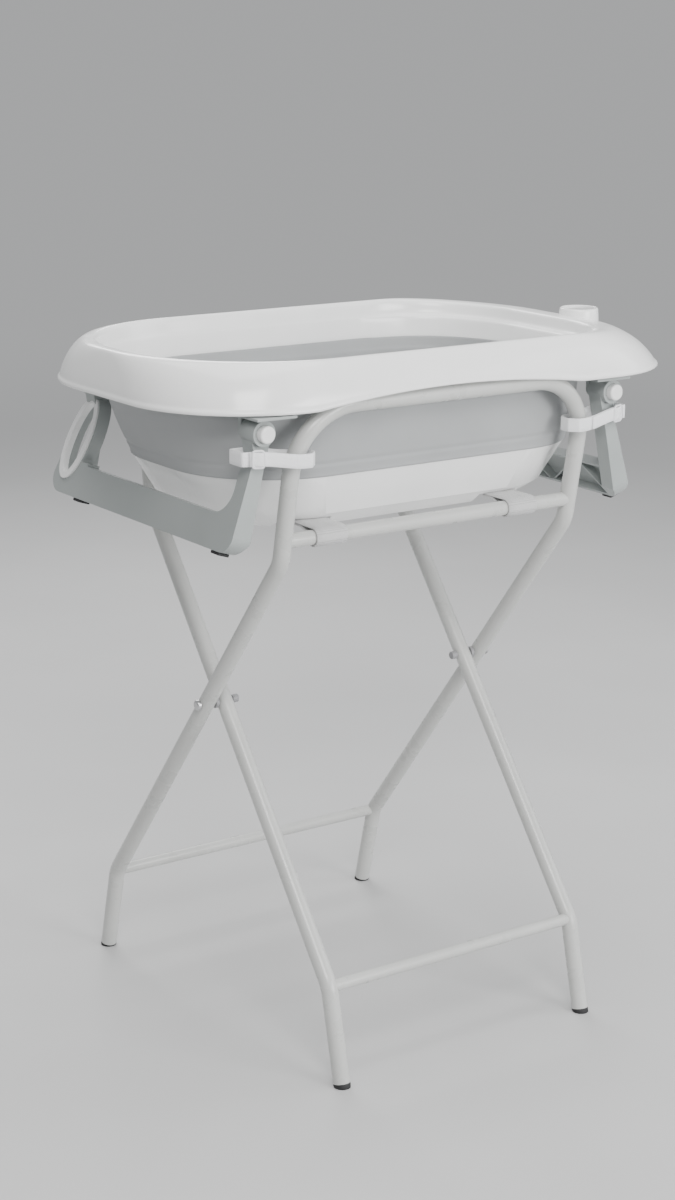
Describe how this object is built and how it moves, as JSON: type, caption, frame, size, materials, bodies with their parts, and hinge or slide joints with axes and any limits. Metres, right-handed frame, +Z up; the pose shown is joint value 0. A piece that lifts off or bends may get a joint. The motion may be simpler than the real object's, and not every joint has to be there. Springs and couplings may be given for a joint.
{
  "type": "baby bath on folding stand",
  "caption": "Collapsible baby bath with a soft folding band and end legs, strapped on a folding tubular X stand.",
  "frame": {"origin": "on the floor under the middle of the rim, level with the pivot line of the stand in Y", "axes": "+X along the bath towards its shelf end, +Y across the bath towards the back, +Z up"},
  "size_m": [0.784, 0.5756, 0.917],
  "materials": {
    "painted_tube": "satin warm light grey powder coat",
    "bright_steel": "plain zinc-plated steel",
    "grey_moulding": "matt grey moulded caps and spacers",
    "black_rubber": "matt black rubber",
    "webbing_cloth": "woven light grey webbing",
    "tie_cloth": "white hook-and-loop tape with a faint lilac cast",
    "buckle_plastic": "white moulded slider",
    "white_gloss": "glossy white moulded polypropylene",
    "soft_grey": "matt grey soft thermoplastic elastomer",
    "grey_plastic": "smooth satin mid grey moulded plastic"
  },
  "bodies": {
    "pivots": {"pivot_bolt_left": "bright_steel", "pivot_bolt_right": "bright_steel", "pivot_cap_nuts": "grey_moulding", "pivot_spacers": "grey_moulding", "webbing_left": "webbing_cloth", "webbing_right": "webbing_cloth"},
    "frame_a": {"frame_a_foot_cross_tube": "painted_tube", "frame_a_lower_leg_left": "painted_tube", "frame_a_lower_leg_right": "painted_tube", "frame_a_rubber_feet": "black_rubber", "frame_a_support_rail": "painted_tube", "frame_a_top_bow": "painted_tube", "tie_buckle_left": "buckle_plastic", "tie_buckle_right": "buckle_plastic", "tie_left": "tie_cloth", "tie_right": "tie_cloth"},
    "frame_b": {"frame_b_foot_cross_tube": "painted_tube", "frame_b_lower_leg_left": "painted_tube", "frame_b_lower_leg_right": "painted_tube", "frame_b_rubber_feet": "black_rubber", "frame_b_support_rail": "painted_tube", "frame_b_top_bow": "painted_tube"},
    "bath": {"bath_rim": "white_gloss", "hinge_bracket_left_front": "grey_plastic", "hinge_bracket_left_rear": "grey_plastic", "hinge_bracket_right_front": "grey_plastic", "hinge_bracket_right_rear": "grey_plastic", "hinge_pins": "bright_steel", "holder_insert": "soft_grey", "soft_band": "soft_grey"},
    "pan": {"bath_pan": "white_gloss"},
    "drain_plug_body": {"drain_plug": "soft_grey"},
    "leg_left": {"button_spring_left_front": "bright_steel", "button_spring_left_rear": "bright_steel", "end_leg_left": "grey_plastic", "hanging_hole_ring": "white_gloss", "leg_rubber_pads_left": "black_rubber"},
    "leg_right": {"button_spring_right_front": "bright_steel", "button_spring_right_rear": "bright_steel", "end_leg_right": "grey_plastic", "leg_rubber_pads_right": "black_rubber"},
    "button_left_front": {"release_button_left_front": "white_gloss"},
    "button_left_rear": {"release_button_left_rear": "white_gloss"},
    "button_right_front": {"release_button_right_front": "white_gloss"},
    "button_right_rear": {"release_button_right_rear": "white_gloss"}
  },
  "joints": [
    {"name": "tub_lift_off", "type": "slide", "parent": "pivots", "child": "bath", "axis": [0, 0, 1], "range_m": [0, 1], "deforming": ["tie_buckle_left", "tie_buckle_right", "tie_left", "tie_right"]},
    {"name": "frame_a_fold", "type": "hinge", "parent": "pivots", "child": "frame_a", "pos_m": [-0.02, 0, 0.439], "axis": [-1, 0, 0], "range_deg": [0, 25.3], "deforming": ["webbing_left", "webbing_right"]},
    {"name": "frame_b_fold", "type": "hinge", "parent": "pivots", "child": "frame_b", "pos_m": [-0.02, 0, 0.439], "axis": [1, 0, 0], "range_deg": [0, 25.3], "deforming": ["webbing_left", "webbing_right"]},
    {"name": "pan_collapse", "type": "slide", "parent": "bath", "child": "pan", "axis": [0, 0, 1], "range_m": [0, 0.148], "deforming": ["soft_band"]},
    {"name": "drain_plug_pull", "type": "slide", "parent": "pan", "child": "drain_plug_body", "axis": [0, 0, 1], "range_m": [0, 0.03]},
    {"name": "leg_fold_left", "type": "hinge", "parent": "bath", "child": "leg_left", "pos_m": [-0.291, 0, 0.835], "axis": [0, -1, 0], "range_deg": [0, 100]},
    {"name": "leg_fold_right", "type": "hinge", "parent": "bath", "child": "leg_right", "pos_m": [0.251, 0, 0.835], "axis": [0, 1, 0], "range_deg": [0, 100]},
    {"name": "button_press_left_front", "type": "slide", "parent": "leg_left", "child": "button_left_front", "axis": [0, 1, 0], "range_m": [0, 0.004], "stiffness_N_per_m": 400, "springref_m": -0.003, "deforming": ["button_spring_left_front"]},
    {"name": "button_press_left_rear", "type": "slide", "parent": "leg_left", "child": "button_left_rear", "axis": [0, -1, 0], "range_m": [0, 0.004], "stiffness_N_per_m": 400, "springref_m": -0.003, "deforming": ["button_spring_left_rear"]},
    {"name": "button_press_right_front", "type": "slide", "parent": "leg_right", "child": "button_right_front", "axis": [0, 1, 0], "range_m": [0, 0.004], "stiffness_N_per_m": 400, "springref_m": -0.003, "deforming": ["button_spring_right_front"]},
    {"name": "button_press_right_rear", "type": "slide", "parent": "leg_right", "child": "button_right_rear", "axis": [0, -1, 0], "range_m": [0, 0.004], "stiffness_N_per_m": 400, "springref_m": -0.003, "deforming": ["button_spring_right_rear"]}
  ],
  "couplings": [
    {"joint": "frame_a_fold", "follows": "tub_lift_off", "rad_per_m": 0.44155},
    {"joint": "frame_b_fold", "follows": "tub_lift_off", "rad_per_m": 0.44155},
    {"joint": "pan_collapse", "follows": "tub_lift_off", "ratio": 0.148},
    {"joint": "leg_fold_left", "follows": "tub_lift_off", "rad_per_m": 1.7453},
    {"joint": "leg_fold_right", "follows": "tub_lift_off", "rad_per_m": 1.7453}
  ]
}
